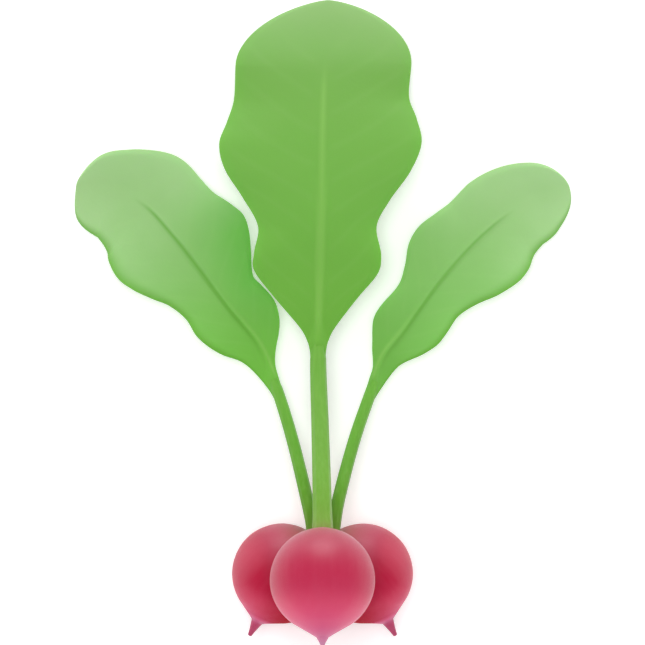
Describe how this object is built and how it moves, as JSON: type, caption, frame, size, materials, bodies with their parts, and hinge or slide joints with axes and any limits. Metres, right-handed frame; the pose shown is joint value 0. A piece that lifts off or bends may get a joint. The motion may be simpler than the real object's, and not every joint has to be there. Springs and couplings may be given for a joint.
{
  "type": "bunch of radishes",
  "caption": "Fresh bunch of round red radishes lying flat: pale tail roots, one green stem and one broad wavy-edged leaf on each root.",
  "frame": {"origin": "centre of the bunch's bounding box, on the surface it lies on", "axes": "+Z up, +Y from the tail roots to the leaf tips, +X to the right seen from above with +Y up"},
  "size_m": [0.1504, 0.1932, 0.059],
  "materials": {
    "root_skin": "smooth crimson skin with a soft sheen, pinker towards a pale tail",
    "stem_skin": "smooth green stem, darker at the crown",
    "leaf_skin": "soft matte leaf, deeper green at the foot and paler at the tip"
  },
  "bodies": {
    "root": {"top_radish": "root_skin", "left_radish": "root_skin", "right_radish": "root_skin", "top_stem": "stem_skin", "left_stem": "stem_skin", "right_stem": "stem_skin", "top_leaf": "leaf_skin", "left_leaf": "leaf_skin", "right_leaf": "leaf_skin"}
  },
  "joints": []
}
